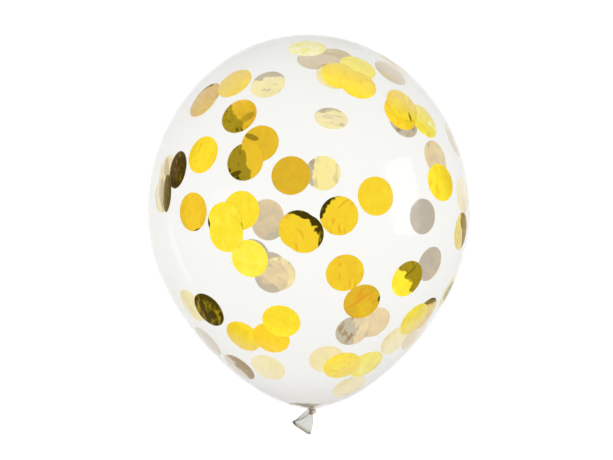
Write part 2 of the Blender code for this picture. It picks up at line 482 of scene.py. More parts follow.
def fold_rise(across, down):
    place = between(FOLD_PLACE, math.sqrt(down))
    left_spread, right_spread = FOLD_SPREAD
    spread = left_spread if across < place else right_spread
    return FOLD_HEIGHT * down * math.exp(-(((across - place) / spread) ** 2))


def tail_ring(down, inset):
    """The corners round the tail at this share of its length, and where each is on the tail."""
    left = between(TAIL_LEFT, down)
    right = between(TAIL_RIGHT, 1 - (1 - down) ** TAIL_RIGHT_BULGE)
    width = left + right
    thickness = between(TAIL_THICKNESS, down)
    corners = []
    places = []
    for side in range(TAIL_SIDES):
        x, y = flat_ring(width - 2 * inset, thickness - 2 * inset, side / TAIL_SIDES)
        across = x / (width / 2)
        bow = TAIL_BOW * down * across**2
        turned_down = y * math.tan(RIM_TILT) * down
        waves = TAIL_CREASES * across + 4 * down + (3 if y > 0 else 0)
        crease = TAIL_CREASE_DEPTH * (1 - down) * math.sin(waves)
        point = Vector((
            x + (right - left) / 2,
            y + bow - fold_rise(across, down) + crease,
            turned_down - TAIL_LENGTH * down,
        ))
        corners.append(lying(TAIL_FRAME @ point))
        places.append((across, down, 0.0))
    return corners, places


# %% Make the tail
def add_tail():
    """The outside of the tube down to the rim, then its inside back up to a closed end."""
    rings = [tail_ring(step / TAIL_RINGS, 0.0) for step in range(TAIL_RINGS + 1)]
    for step in range(TAIL_RINGS, -1, -1):
        rings.append(tail_ring(between((HOLLOW_START, 1.0), step / TAIL_RINGS), TAIL_WALL))
    corners = [corner for ring in rings for corner in ring[0]]
    faces = ring_faces(0, len(rings), TAIL_SIDES)
    faces.append(tuple(range(TAIL_SIDES)))
    faces.append(tuple(range(len(corners) - TAIL_SIDES, len(corners))))
    piece = add_piece("flared_tail", corners, faces)
    save_places(piece, "tail_place", [place for ring in rings for place in ring[1]])
    return piece


tail = add_tail()
print("tail faces", len(tail.data.polygons))

# %% The rolled rim
BEAD_THICKNESS = 0.0024
BEAD_SIDES = 22
BEAD_UNEVEN = 0.00022  # how far the roll swells and thins along its way
GROOVE_DEPTH = 0.00007
GROOVE_WIDTH = 0.16  # in radians round the roll
GROOVE_PLACES = (2.4, 4.6)


def bead_thickness(share, angle):
    """The roll's thickness, which swells along it and has two grooves where the film ends."""
    swell = math.sin(2 * math.pi * (3 * share + 0.2)) + 0.6 * math.sin(14 * math.pi * share)
    groove = sum(math.exp(-(((angle - place) / GROOVE_WIDTH) ** 2)) for place in GROOVE_PLACES)
    return BEAD_THICKNESS - BEAD_UNEVEN * (1.6 + swell) / 3.2 - 2 * GROOVE_DEPTH * groove


def add_rim():
    path = tail_ring(1.0, TAIL_WALL / 2)[0]
    corners, faces = tube(path, bead_thickness, BEAD_SIDES)
    piece = add_piece("rolled_rim", corners, faces)
    down = lying(TAIL_FRAME @ Vector((0, 0, -1))) - lying(TAIL_FRAME @ Vector((0, 0, 0)))
    outer = []
    for index, corner in enumerate(corners):
        outer.append((corner - path[index // BEAD_SIDES]).normalized().dot(down))
    save_numbers(piece, "rim_outer", outer)
    return piece


rim = add_rim()
print("rim faces", len(rim.data.polygons))

# %% [markdown]
# The confetti is punched from thin metallised film: gold on the face that clings to the skin,
# pale champagne behind. So a disc on the near side shows gold, and one on the far side shows
# its pale back through the balloon, whichever way the balloon is looked at.
# For each disc, at is the pixel of its middle. tone goes from brown gold to lemon, or on the
# pale backs from grey to cream. dark is the share of it painted with a dark reflection, from the
# side that dark_from names in degrees anticlockwise from the right. bend curves the border of
# that share along the disc's edge, and murk takes that painted reflection from olive to
# black-brown. creased is how strongly its folds show their painted shade, and mark is one fold
# painted with dark shade that stands out. A disc that lies badly stands off the skin by lean
# metres on the side that lean_from names.
# Where discs overlap, the one that comes first in the list lies against the skin.

# %% Single folds painted with dark shade
# each mark is one fold on a disc, painted dark with shade
Mark = namedtuple("Mark", "across up degrees length width strength")

WEDGE = Mark(across=-0.42, up=0.40, degrees=-28, length=0.46, width=0.16, strength=0.60)
LOW_WEDGE = Mark(across=-0.55, up=-0.58, degrees=15, length=0.40, width=0.14, strength=0.85)
SHORT_LINE = Mark(across=0.47, up=-0.60, degrees=-70, length=0.32, width=0.07, strength=0.85)
# a painted shadow line, cast by the edge of the disc that lies over this one
EDGE_SHADOW_LINE = Mark(across=-0.08, up=-0.40, degrees=-72, length=0.50, width=0.03, strength=0.60)
MIDDLE_LINE = Mark(across=0.20, up=0.38, degrees=24, length=0.50, width=0.05, strength=0.70)
EDGE_SPOT = Mark(across=0.94, up=-0.05, degrees=80, length=0.18, width=0.08, strength=0.85)
LONG_STREAK = Mark(across=0.0, up=0.0, degrees=90, length=0.65, width=0.60, strength=0.80)
RIM_STREAK = Mark(across=0.0, up=0.1, degrees=90, length=0.90, width=0.30, strength=0.60)
OUTER_STREAK = Mark(across=-0.3, up=0.2, degrees=-40, length=0.65, width=0.16, strength=0.8)
BROWN_FOLD = Mark(across=0.45, up=-0.25, degrees=25, length=0.45, width=0.22, strength=0.35)

# %% Discs on the near side
Disc = namedtuple(
    "Disc",
    "at tone dark dark_from bend murk creased lean lean_from mark",
    defaults=(0.6, 0.0, 0, 0.0, 0.3, 0.15, 0.0, 0, None),
)

NEAR_DISCS = [
    Disc(at=(307, 46.7), tone=1.0),
    Disc(at=(358.5, 83.5), tone=0.72),
    Disc(at=(340, 74), tone=0.73),
    Disc(at=(358.5, 66), tone=0.9),
    Disc(at=(233.8, 82.2), tone=0.66),
    Disc(at=(202.8, 100.3), tone=0.2, creased=1.0),
    Disc(at=(204.8, 96.8), tone=0.1, dark=0.6, dark_from=150, creased=0.8),
    Disc(at=(238.5, 115.3), tone=0.1, dark=0.5, dark_from=200, murk=0.2, creased=0.9,
         mark=BROWN_FOLD),
    Disc(at=(202, 154.3), tone=0.68),
    Disc(at=(244.6, 161.4), tone=0.3, dark=0.62, dark_from=190, murk=0.25, mark=LOW_WEDGE),
    Disc(at=(259.5, 143), tone=0.2, creased=0.4, mark=WEDGE),
    Disc(at=(290.8, 175.2), tone=0.12, creased=0.3),
    Disc(at=(174.5, 169), tone=0.3, dark=1.3, murk=0.78, lean=0.004, lean_from=180),
    Disc(at=(161.5, 193), tone=0.2, dark=1.3, murk=0.9, lean=0.007, lean_from=180),
    Disc(at=(192, 211.8), tone=0.28, dark=0.14, dark_from=310, bend=0.45, murk=0.7, creased=0.3),
    Disc(at=(225.5, 233), tone=0.82),
    Disc(at=(223.5, 221.5), tone=0.82, dark=0.17, dark_from=205, bend=0.45, murk=0.9),
    Disc(at=(240.5, 210.3), tone=0.78, mark=EDGE_SHADOW_LINE),
    Disc(at=(249, 259), tone=0.88),
    Disc(at=(304, 233.8), tone=0.62, dark=0.33, dark_from=30, bend=0.45, murk=0.8, creased=0.7),
    Disc(at=(298, 230), tone=0.55, dark=0.22, dark_from=50, bend=0.45, murk=0.85, creased=0.6),
    Disc(at=(339.5, 215.8), tone=0.6, dark=0.22, dark_from=158, bend=0.45, murk=0.9, creased=0.6),
    Disc(at=(376.3, 196), tone=0.68),
    Disc(at=(403, 104.5), tone=0.73, creased=0.3, mark=SHORT_LINE),
    Disc(at=(401, 112.5), tone=0.65, creased=0.5),
    Disc(at=(425, 120), tone=0.93, creased=0.5),
    Disc(at=(443.5, 181.8), tone=0.75, dark=0.1, dark_from=350, murk=0.6, creased=0.4,
         lean=0.004, lean_from=180),
    Disc(at=(462, 231.5), tone=0.85, dark=0.55, murk=0.15, creased=0.6),
    Disc(at=(408, 279.3), tone=0.82, dark=0.6, dark_from=20, murk=0.2, mark=MIDDLE_LINE),
    Disc(at=(345.3, 273.4), tone=0.46, creased=0.7),
    Disc(at=(362.5, 302.3), tone=0.12, dark_from=308, creased=1.0, mark=EDGE_SPOT),
    Disc(at=(281, 322), tone=0.78),
    Disc(at=(270.5, 339), tone=0.48),
    Disc(at=(242.5, 337.5), tone=0.69),
    Disc(at=(208, 310.4), tone=0.3, dark=1.3, murk=0.72),
    Disc(at=(342.5, 366.5), tone=0.76),
    Disc(at=(366.5, 365.5), tone=0.9, creased=0.3),
    Disc(at=(415, 320), tone=0.84, creased=0.3),
    Disc(at=(425.5, 314.5), tone=0.6, dark=0.25, dark_from=60, murk=0.5, creased=0.9),
    Disc(at=(448.8, 292), tone=0.9, mark=LONG_STREAK),
]

# %% Discs on the far side
FAR_DISCS = [
    Disc(at=(315, 58), tone=0.2, creased=0.3),
    Disc(at=(337, 56), tone=0.2, creased=0.3),
    Disc(at=(334, 75), tone=0.6),
    Disc(at=(267.5, 83.4), tone=0.7, dark=0.38, dark_from=80, murk=0.1, creased=1.0),
    Disc(at=(391, 71.5), tone=0.15, creased=0.3),
    Disc(at=(394, 62), tone=0.3, mark=OUTER_STREAK),
    Disc(at=(332.6, 113.2), tone=0.65, dark=0.3, dark_from=100, creased=0.8, lean=0.014,
         lean_from=90),
    Disc(at=(404, 121), tone=0.0, dark=1.3, murk=0.3),
    Disc(at=(453.5, 138.5), tone=0.2, creased=0.9),
    Disc(at=(436.5, 157.5), tone=0.36, creased=0.9),
    Disc(at=(323.2, 172.8), tone=0.9, dark=0.3, dark_from=180, creased=0.6),
    Disc(at=(266.5, 216.8), tone=0.28, creased=0.5),
    Disc(at=(268, 223), tone=0.22, dark=0.35, dark_from=300, murk=0.1, creased=0.6),
    Disc(at=(423.5, 216.5), tone=0.0),
    Disc(at=(463.5, 195), tone=0.6),
    Disc(at=(430.5, 264.3), tone=0.05, creased=0.4),
    Disc(at=(252.5, 256.5), tone=0.0),
    Disc(at=(270, 269), tone=0.38, dark=0.4, dark_from=110, murk=0.1, creased=0.8),
    Disc(at=(278, 274.5), tone=0.54, creased=0.9),
    Disc(at=(271, 277.3), tone=0.36, dark=0.35, dark_from=250, murk=0.1, creased=0.9),
    Disc(at=(374.5, 323), tone=0.36, creased=0.3),
    Disc(at=(353, 331.5), tone=0.35, dark=0.6, dark_from=170, murk=0.35, creased=0.9),
    Disc(at=(327, 360), tone=0.6),
    Disc(at=(350, 388), tone=0.6),
    Disc(at=(396, 341), tone=0.66, creased=0.3),
    Disc(at=(415, 336), tone=0.3),
    Disc(at=(267.5, 368.5), tone=0.62, creased=0.3),
    Disc(at=(238.5, 368), tone=0.1, dark=0.62, dark_from=50, murk=0.9),
    Disc(at=(207, 342), tone=0.05, creased=0.5),
    Disc(at=(191, 306), tone=0.68, creased=0.3),
    Disc(at=(166, 172.5), tone=0.56, creased=0.9, mark=RIM_STREAK),
    Disc(at=(161, 194.5), tone=0.56, creased=0.9, mark=RIM_STREAK),
]
print("discs", len(NEAR_DISCS), "near and", len(FAR_DISCS), "far")

# %% [markdown]
# To lay a disc on the skin, the sight line through its pixel is cut with the skin: the first
# cut is on the near side and the second on the far side. A disc too near the balloon's edge to
# be met is drawn in towards the middle until it is.
# A disc is laid down flat there and each of its points is slid onto the inside of the skin, so
# it bends with the balloon. Thin film never lies quite smooth, so gentle waves and a few sharp
# creases hold it off the skin by a fraction of a millimetre. The next disc over it lies deeper.

# %% Where the sight lines meet the skin
DISC_RADIUS = 0.0163
DISC_GAP = 0.00012  # from the film's inside to the first disc
LAYER_STEP = 0.00027
BALLOON_MIDDLE = Vector((308.3, 213.0))  # the pixel over the middle of the widest ring
DRAW_IN = 0.002  # share of the way to that middle in one step
SMALL = 0.0001  # the step over which a slope is measured
SEARCH_REACH = 0.2  # further from the axis than any skin
HALVINGS = 40
SLIDES = 5
MARGIN = 0.001


def depth_inside(place):
    """How far a point is inside the skin, measured straight out from the balloon's axis."""
    return skin_radius(place.y) - math.hypot(place.x, place.z - AXIS_HEIGHT)


def outward_from(place):
    """The direction square to the skin, outwards."""
    slopes = []
    for axis in range(3):
        step = Vector((0, 0, 0))
        step[axis] = SMALL
        slopes.append(depth_inside(place - step) - depth_inside(place + step))
    return Vector(slopes).normalized()


def onto_skin(place, inset):
    """Slides a point square to the skin until it is this far inside it."""
    for _ in range(SLIDES):
        out = outward_from(place)
        rate = (depth_inside(place - out * SMALL) - depth_inside(place)) / SMALL
        place = place + out * ((depth_inside(place) / rate) - inset)
    return place


def cut_skin(column, row, far):
    """Where the sight line through a pixel meets the skin, or None where it misses."""
    line = sight_line(column, row)
    to_axis = CAMERA_DROP / -line.z
    inside = CAMERA_PLACE + line * to_axis
    if depth_inside(inside) <= MARGIN:
        return None
    start = to_axis
    end = to_axis + (SEARCH_REACH if far else -SEARCH_REACH)
    for _ in range(HALVINGS):
        middle = (start + end) / 2
        if depth_inside(CAMERA_PLACE + line * middle) > 0:
            start = middle
        else:
            end = middle
    return CAMERA_PLACE + line * start


def disc_middle(disc, far):
    pixel = Vector(disc.at)
    place = cut_skin(*pixel, far)
    while place is None:
        pixel = pixel.lerp(BALLOON_MIDDLE, DRAW_IN)
        place = cut_skin(*pixel, far)
    return place


middles = [disc_middle(disc, False) for disc in NEAR_DISCS]
middles += [disc_middle(disc, True) for disc in FAR_DISCS]
print("lowest disc", round(min(place.z for place in middles) * 1000, 1), "mm above the floor")

# %% How deep each disc lies
def layers_of(places):
    """The first disc lies on the skin, and each later one under those that it overlaps."""
    layers = []
    for index, place in enumerate(places):
        above = [
            layers[other]
            for other in range(index)
            if (places[other] - place).length < 2 * DISC_RADIUS + MARGIN
        ]
        free = 0
        while free in above:
            free += 1
        layers.append(max(above) + 1 if above else free)
    return layers


layers = layers_of(middles)
print("deepest layer", max(layers))

# %% Form of one disc
DISC_FILM = 0.0001
DISC_RINGS = 9
DISC_SIDES = 48
WAVE_LIFT = 0.0001
WAVE_SCALE = 1.3  # the higher, the shorter the waves
DISC_CREASES = 2
CREASE_LIFT = 0.00003
CREASE_SPREAD = 0.35  # from its line to where a crease has died away, in the disc's radius


def disc_lift(across, up, seed):
    """How far waves and creases hold this point of the disc off the skin."""
    wave = noise.noise(Vector((across * WAVE_SCALE, up * WAVE_SCALE, seed * 3.7))) + 0.5
    lift = WAVE_LIFT * max(0.0, min(1.0, wave))
    for crease in range(DISC_CREASES):
        angle = seed * 2.4 + crease * 1.9
        offset = 0.8 * math.sin(seed * 5.1 + crease * 2.7)
        distance = abs(across * math.cos(angle) + up * math.sin(angle) - offset)
        lift += CREASE_LIFT * max(0.0, 1 - distance / CREASE_SPREAD)
    return lift


def disc_grid():
    """(across, up) of the disc's points, from -1 to 1, in rings from the middle out."""
    points = [(0.0, 0.0)]
    for ring in range(1, DISC_RINGS + 1):
        reach = ring / DISC_RINGS
        for side in range(DISC_SIDES):
            angle = 2 * math.pi * side / DISC_SIDES
            points.append((reach * math.cos(angle), reach * math.sin(angle)))
    return points


def disc_faces(face_points):
    """The face towards the skin, the face behind it, and the cut edge between them."""
    faces = ring_faces(1, DISC_RINGS, DISC_SIDES)
    faces += ring_faces(face_points + 1, DISC_RINGS, DISC_SIDES)
    outer = 1 + (DISC_RINGS - 1) * DISC_SIDES
    behind = face_points + outer
    for side in range(DISC_SIDES):
        beside = (side + 1) % DISC_SIDES
        for start in (0, face_points):
            faces.append((start, start + 1 + side, start + 1 + beside))
        faces.append((outer + side, behind + side, behind + beside, outer + beside))
    return faces


# %% Lay the confetti
GOLD_SIDE = 0
PALE_SIDE = 1
NO_MARK = 9.0  # far outside any mark
random.seed(27)


def turned_to(across, along, degrees):
    """How far a point of the disc is towards a direction in the photograph, and beside it."""
    turn = math.radians(degrees)
    towards = across * math.cos(turn) + along * math.sin(turn)
    return towards, along * math.cos(turn) - across * math.sin(turn)


def disc_corners(disc, middle, layer, seed):
    """The corners of both faces, each slid onto the skin from a flat disc on its middle."""
    out = outward_from(middle)
    right = (Vector((1, 0, 0)) - out * out.x).normalized()
    up = out.cross(right)
    if up.y < 0:
        up = -up
    grid = disc_grid()
    corners = []
    for film in (0.0, DISC_FILM):
        for across, along in grid:
            flat = middle + (right * across + up * along) * DISC_RADIUS
            towards_lean = turned_to(across, along, disc.lean_from)[0]
            stand_off = disc.lean * (1 + towards_lean) / 2 + disc_lift(across, along, seed)
            depth = film_at(flat.y) + DISC_GAP + layer * LAYER_STEP + stand_off + film
            corners.append(onto_skin(flat, depth))
    return corners, grid


def add_disc(number, disc, far, middle, layer):
    seed = number * 0.731
    corners, grid = disc_corners(disc, middle, layer, seed)
    faces = disc_faces(len(grid))
    piece = add_piece(f"confetti_{number:02d}", corners, faces)
    save_looks(piece, disc, far, grid, seed)
    piece.data.set_sharp_from_angle(angle=math.radians(40))
    for face in piece.data.polygons:
        behind = sum(index >= len(grid) for index in face.vertices)
        face.material_index = PALE_SIDE if behind == len(face.vertices) else GOLD_SIDE
    return piece


def mark_places(mark, grid):
    """Where each point is from the middle of the mark, whose edge is at 1, and its strength."""
    if mark is None:
        return [(NO_MARK, 0.0, 0.0)] * len(grid)
    places = []
    for across, along in grid:
        forward, beside = turned_to(across - mark.across, along - mark.up, mark.degrees)
        places.append((forward / mark.length, beside / mark.width, mark.strength))
    return places


def save_looks(piece, disc, far, grid, seed):
    """Keeps the looks of both faces, drawn by lot for the one that the photograph hides."""
    hidden = (random.uniform(0.2, 0.9), random.choice((0.0, 0.0, 0.15, 0.4)), 0.3, 0.2)
    seen = (disc.tone, disc.dark, disc.murk, disc.creased)
    gold, pale = (hidden, seen) if far else (seen, hidden)
    places = []
    for across, along in grid * 2:
        towards, beside = turned_to(across, along, disc.dark_from)
        places.append((towards + disc.bend * beside**2, beside, seed))
    save_places(piece, "foil_place", places)
    gold_mark, pale_mark = (None, disc.mark) if far else (disc.mark, None)
    marks = mark_places(gold_mark, grid) + mark_places(pale_mark, grid)
    save_places(piece, "foil_mark", marks)
    for index, name in enumerate(("foil_tone", "foil_dark", "foil_murk", "foil_creased")):
        save_numbers(piece, name, [gold[index]] * len(grid) + [pale[index]] * len(grid))


near_pieces = []
far_pieces = []
for number, disc in enumerate(NEAR_DISCS + FAR_DISCS):
    far = number >= len(NEAR_DISCS)
    piece = add_disc(number + 1, disc, far, middles[number], layers[number])
    (far_pieces if far else near_pieces).append(piece)
print("faces on a disc", len(near_pieces[0].data.polygons))

# %% [markdown]
# Every finish below is worked out by nodes. Written out node by node, a material is hard to
# read, so one small class wraps a socket: adding or multiplying two of them adds the Math node
# that does it. One method makes every other kind of node.

# %% Shader maths
def both_ways(operation):
    """What one of Python's operators does with a Wire before it, and with a Wire after it."""
    settings = {"operation": operation}

    def wire_first(wire, other):
        return wire.nodes.node("ShaderNodeMath", settings, {0: wire, 1: other})

    def wire_last(wire, other):
        return wire.nodes.node("ShaderNodeMath", settings, {0: other, 1: wire})

    return wire_first, wire_last


class Wire:
    """A socket of a node that Python's operators work on, so that 1 - mask works too."""

    __add__, __radd__ = both_ways("ADD")
    __sub__, __rsub__ = both_ways("SUBTRACT")
    __mul__, __rmul__ = both_ways("MULTIPLY")
    __truediv__, __rtruediv__ = both_ways("DIVIDE")
    __pow__, __rpow__ = both_ways("POWER")

    def __init__(self, nodes, socket):
        self.nodes = nodes
        self.socket = socket


# %% Node trees
MIX_FACTOR, MIX_A, MIX_B, MIX_RESULT = 0, 6, 7, 2  # a Mix node's colour sockets


class Nodes:
    """A node tree, and the ways to add to it."""

    def __init__(self, tree):
        self.tree = tree

    def node(self, kind, settings=None, sockets=None, output=0):
        """Adds a node: its settings first, then the values or links of its sockets."""
        made = self.tree.nodes.new(kind)
        for name, value in (settings or {}).items():
            if name == "stops":
                self.set_stops(made.color_ramp, value)
            else:
                setattr(made, name, value)
        for name, value in (sockets or {}).items():
            self.feed(made.inputs[name], value)
        return Wire(self, made.outputs[output])

    def set_stops(self, ramp, stops):
        while len(ramp.elements) < len(stops):
            ramp.elements.new(0.5)
        for element, (place, colour) in zip(ramp.elements, stops):
            element.position = place
            element.color = (*colour, 1.0)

    def feed(self, socket, value):
        if isinstance(value, Wire):
            self.tree.links.new(value.socket, socket)
        elif hasattr(value, "__len__") and len(value) == 3 and socket.type == "RGBA":
            socket.default_value = (*value, 1.0)
        else:
            socket.default_value = value

    def parts(self, vector):
        """The three numbers of a vector."""
        first = self.node("ShaderNodeSeparateXYZ", {}, {"Vector": vector})
        return [Wire(self, socket) for socket in first.socket.node.outputs]

    def mix(self, factor, first, second):
        sockets = {MIX_FACTOR: factor, MIX_A: first, MIX_B: second}
        return self.node("ShaderNodeMix", {"data_type": "RGBA"}, sockets, MIX_RESULT)

    def rise(self, value, start, end):
        """0 at start, 1 at end, and a smooth rise between them."""
        settings = {"interpolation_type": "SMOOTHSTEP"}
        sockets = {"Value": value, "From Min": start, "From Max": end}
        return self.node("ShaderNodeMapRange", settings, sockets)

    def band(self, value, low, high, soft):
        """1 between low and high, with a soft border of this width outside them."""
        return self.rise(value, low - soft, low) * (1 - self.rise(value, high, high + soft))

    def cloud(self, place, scale, detail=2.0, stretch=(1, 1, 1)):
        """Soft noise from 0 to 1 over a place."""
        sockets = {"Vector": place, "Scale": stretch}
        stretched = self.node("ShaderNodeMapping", {}, sockets)
        sockets = {"Vector": stretched, "Scale": scale, "Detail": detail}
        return self.node("ShaderNodeTexNoise", {}, sockets)


# %% Finishes
class Finish(Nodes):
    """A material with one Principled shader."""

    def __init__(self, name):
        self.material = bpy.data.materials.new(name)
        self.material.use_nodes = True
        super().__init__(self.material.node_tree)
        self.shader = self.tree.nodes["Principled BSDF"]

    def set(self, **values):
        """Sets or links sockets of the shader, named with _ for each space."""
        for name, value in values.items():
            self.feed(self.shader.inputs[name.replace("_", " ")], value)

    def number(self, name):
        """A number kept at each corner of the mesh."""
        return self.node("ShaderNodeAttribute", {"attribute_name": name}, output="Fac")

    def kept_place(self, name):
        """A place kept at each corner of the mesh."""
        return self.node("ShaderNodeAttribute", {"attribute_name": name}, output="Vector")

    def place(self):
        """Where a point is on its piece, in metres."""
        return self.node("ShaderNodeTexCoord", {}, output="Object")

    def slant(self):
        """From 0 where the surface faces the eye to 1 at its outline."""
        return self.node("ShaderNodeLayerWeight", {}, {"Blend": 0.5}, output="Facing")

    def bumps(self, height, distance, strength):
        sockets = {"Height": height, "Distance": distance, "Strength": strength}
        self.set(Normal=self.node("ShaderNodeBump", {}, sockets))


# %% [markdown]
# Clear latex passes nearly all light. It is a little warm in colour, and milky where the film
# is slack. Seen at a slant, the eye looks through more of it, so the balloon's outline is
# greyer than its middle. The film is see-through by a plain Transmission value, and only its
# colour and its faint ripples vary. Its index is lower than latex's own, because mirroring as
# strong as that would hide the foil, and it casts no shadow, as in the photograph.

# %% Clear latex
FILM_CLEARNESS = 0.966  # the share of light that passes where the film is thinnest
# the neck fold is a dark band of painted shade over the doubled film
NECK_FOLD_RISE = 0.0071  # from the neck up to the edge of the fold beside it
NECK_FOLD_SLOPE = 0.05
NECK_FOLD_LEFT = -0.0225
NECK_FOLD_RIGHT = 0.010
NECK_FOLD_SOFTNESS = 0.0003
NECK_FOLD_FADE = (0.0034, 0.0048)  # over this stretch below its edge the fold fades


def shaded_neck_fold(finish, place, slant):
    """The slack film doubled over across the neck, darkened with painted shade of the fold: a
    dark band that widens to the right.
    """
    x, y, z = finish.parts(place)
    below = neck_height + NECK_FOLD_RISE - x * NECK_FOLD_SLOPE - y
    band = finish.rise(below, -NECK_FOLD_SOFTNESS, NECK_FOLD_SOFTNESS)
    lower_part = finish.rise(below - x * 0.1, *NECK_FOLD_FADE)
    left = finish.rise(x, NECK_FOLD_LEFT, NECK_FOLD_LEFT + 0.004)
    right = finish.rise(x, NECK_FOLD_RIGHT, NECK_FOLD_RIGHT - 0.007)
    upper_film = finish.rise(z, AXIS_HEIGHT, AXIS_HEIGHT + 0.002)
    # the band's colour is painted shade
    colour = finish.mix(finish.rise(x, -0.006, 0.001), (0.36, 0.34, 0.29), (0.46, 0.38, 0.26))
    seen_through_more = finish.rise(slant, 0.25, 0.55)
    strength = seen_through_more * (1 - lower_part * 0.7)
    return band * left * right * upper_film * strength, colour


def clear_latex():
    finish = Finish("clear_latex")
    place = finish.place()
    film = finish.number("film")
    slack = finish.number("slack")
    clouds = finish.cloud(place, 9.0, 3.0)
    slant = finish.slant()
    straight = finish.mix(clouds, (0.932, 0.930, 0.915), (0.950, 0.948, 0.935))
    lost = 1 - FILM_CLEARNESS ** (film / (1.05 - slant))
    slanting = finish.mix(lost, straight, (0.06, 0.06, 0.06))
    milky = finish.mix(finish.rise(slack, 0.0, 0.6) * 0.4, slanting, (0.86, 0.84, 0.80))
    fold_shaded, neck_shade_colour = shaded_neck_fold(finish, place, slant)
    finish.set(
        Base_Color=finish.mix(fold_shaded, milky, neck_shade_colour),
        Roughness=0.02,
        IOR=1.06,
        Transmission_Weight=1.0,
    )
    ripples = finish.cloud(place, 26.0, 1.0) + finish.cloud(place, 140.0, 2.0) * 0.02
    finish.bumps(ripples, 0.0004, 0.2)
    return finish.material


skin.data.materials.append(clear_latex())
skin.visible_shadow = False
skin.visible_diffuse = False
skin.visible_glossy = False

# %% [markdown]
# Slack latex is honey-coloured and milky. The knot is many layers thick and nearly brown. The
# tail is two layers of slack film, grey-white and half see-through, and its rolled rim is a
# thick clear cord, bright in the middle and dark at its edges, because it bends light like a
# glass rod. That dark is painted shade in the rim's colour, as is the dark end where the roll is
# seen end on. One function makes all three, with its own colours and see-through share for each.

# %% Slack latex
def slack_latex(finish, thick_and_shaded, pale, deep, clearness, wrinkle_scale):
    """Goes from pale to deep where the latex is thick and where shade is painted, with soft
    clouds and streaks.
    """
    place = finish.place()
    clouds = finish.cloud(place, 160.0, 3.0)
    streaks = finish.cloud(place, 420.0, 2.0, stretch=(1.0, 0.25, 1.0))
    share = finish.rise(thick_and_shaded + clouds * 0.2 + streaks * 0.1 - 0.15, 0.0, 1.0)
    finish.set(
        Base_Color=finish.mix(share, pale, deep),
        Roughness=0.12,
        IOR=1.5,
        Transmission_Weight=clearness,
    )
    wrinkles = finish.cloud(place, wrinkle_scale, 3.0, stretch=(1.0, 0.4, 1.0))
    finish.bumps(wrinkles, 0.0002, 0.6)
    return finish.material


# %% Knot finish
# a painted highlight on a single pale loop of the knot
LOOP_HIGHLIGHT_PLACE = Vector((0.0016, neck_height - 0.0012))  # a single pale loop on the knot
LOOP_HIGHLIGHT_SIZE = Vector((0.0016, 0.0010))


def knot_latex():
    finish = Finish("knot_latex")
    x, y = finish.parts(finish.place())[:2]
    across = (x - LOOP_HIGHLIGHT_PLACE.x) / LOOP_HIGHLIGHT_SIZE.x
    along = (y - LOOP_HIGHLIGHT_PLACE.y) / LOOP_HIGHLIGHT_SIZE.y
    loop_highlight = 1 - finish.rise(across * across + along * along, 0.2, 1.3)
    # painted shade darkens the knot's left side, and the painted highlight lightens the loop
    thick_and_shaded = 0.75 + finish.rise(x, 0.0, -0.0025) * 0.3 - loop_highlight * 0.7
    return slack_latex(finish, thick_and_shaded, (0.74, 0.68, 0.55), (0.21, 0.145, 0.085), 0.3, 900.0)


knot.data.materials.append(knot_latex())

# %% Tail finish
# the fold shows as a painted shadow line along its ridge
FOLD_SHADOW_LINE = (0.15, -1.06)  # where the fold shows at the knot and the rim


def tail_latex():
    finish = Finish("tail_latex")
    across, down = finish.parts(finish.kept_place("tail_place"))[:2]
    beside_fold = across - (down * (FOLD_SHADOW_LINE[1] - FOLD_SHADOW_LINE[0]) + FOLD_SHADOW_LINE[0])
    # a painted shadow line along the fold
    line = finish.band(beside_fold, -0.03, 0.02, 0.09)
    doubled = 1 - finish.rise(beside_fold, -0.05, 0.05)
    edge = finish.rise(finish.slant(), 0.35, 0.85)
    left_edge = 1 - finish.rise(across, -0.97, -0.86)
    thick_and_shaded = line * 0.7 + doubled * 0.28 + edge * 0.4 + left_edge * 0.45
    return slack_latex(finish, thick_and_shaded, (0.90, 0.89, 0.86), (0.30, 0.29, 0.22), 0.55, 700.0)


tail.data.materials.append(tail_latex())

# %% Rim finish
# the roll's end is painted darker with shade where it is seen end on
RIM_TIP = -0.0150  # left of this the roll turns over and is seen end on


def rim_latex():
    finish = Finish("rim_latex")
    x = finish.parts(finish.place())[0]
    end_on_shade = finish.rise(x, RIM_TIP + 0.0022, RIM_TIP - 0.0006)
    outer = finish.number("rim_outer")
    # painted shade along the roll's lower and upper edges
    lower_edge_shade = finish.rise(outer, 0.05, 0.5)
    upper_edge_shade = 1 - finish.rise(outer, -0.9, -0.5)
    thick_and_shaded = end_on_shade * 0.8 + lower_edge_shade * 0.9 + upper_edge_shade * 0.5
    return slack_latex(finish, thick_and_shaded, (0.90, 0.86, 0.62), (0.12, 0.11, 0.06), 0.85, 600.0)


rim.data.materials.append(rim_latex())

# %% [markdown]
# Metallised film is a mirror with a tint. In a bright room it mirrors white and shows its own
# yellow, and where it mirrors something dark it turns olive and brown, with a streaky border
# because the film is never flat. The lights here give part of that. The rest is painted into the
# colour: the tone, and the painted dark reflection that each disc keeps, broken up by noise that
# is different on each.
# Towards the outline the skin lays a pale veil over the foil, and a clear coat gives it that.

# %% Foil
CROWN_VEIL = (0.06, 0.10)  # over this stretch towards the crown the thicker skin veils the foil
NECK_VEIL = (-0.08, -0.12)


def fold_shaded_foil(finish, place, clouds, tones, crease):
    """The foil's own colour, with painted shade along its folds."""
    creased = finish.number("foil_creased")
    folds = finish.cloud(place, 1.0, 3.0, stretch=(3.2, 0.8, 7.0))
    gathered = finish.rise(clouds, 0.42, 0.56)
    varied = finish.number("foil_tone") + (clouds - 0.5) * (0.2 + creased * 0.5)
    bright = finish.node("ShaderNodeValToRGB", {"stops": tones}, {"Fac": varied})
    # crease is the colour of the painted shade where the foil folds
    return finish.mix(finish.rise(folds, 0.52, 0.64) * gathered * creased, bright, crease)


